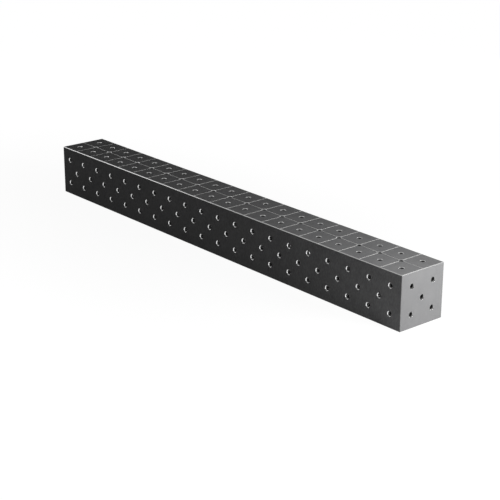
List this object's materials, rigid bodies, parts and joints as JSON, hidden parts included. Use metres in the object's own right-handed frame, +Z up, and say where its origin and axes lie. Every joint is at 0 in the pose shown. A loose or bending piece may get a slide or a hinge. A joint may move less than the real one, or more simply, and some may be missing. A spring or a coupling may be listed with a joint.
{
  "type": "welding table block",
  "caption": "Long square hollow steel block with a grid of clamping holes on every side and scribed grid lines on top, for extending a welding table.",
  "frame": {"origin": "centre of the base face", "axes": "+X along the length, towards the end nearest in the picture; -Y is the long side that the picture shows; +Z up, out of the scribed face"},
  "size_m": [2, 0.2, 0.2],
  "materials": {
    "nitrided_steel": "fine ground and plasma nitrided, dark satin grey",
    "seam_steel": "weld machined flush and nitrided with the plates",
    "inner_steel": "mill finish",
    "weld_bead": "as welded"
  },
  "bodies": {
    "root": {"top_plate": "nitrided_steel", "bottom_plate": "nitrided_steel", "front_plate": "nitrided_steel", "rear_plate": "nitrided_steel", "end_plate_left": "nitrided_steel", "end_plate_right": "nitrided_steel", "seam_welds": "seam_steel", "rib_1": "inner_steel", "rib_1_welds": "weld_bead", "rib_2": "inner_steel", "rib_2_welds": "weld_bead", "rib_3": "inner_steel", "rib_3_welds": "weld_bead", "rib_4": "inner_steel", "rib_4_welds": "weld_bead"}
  },
  "joints": []
}
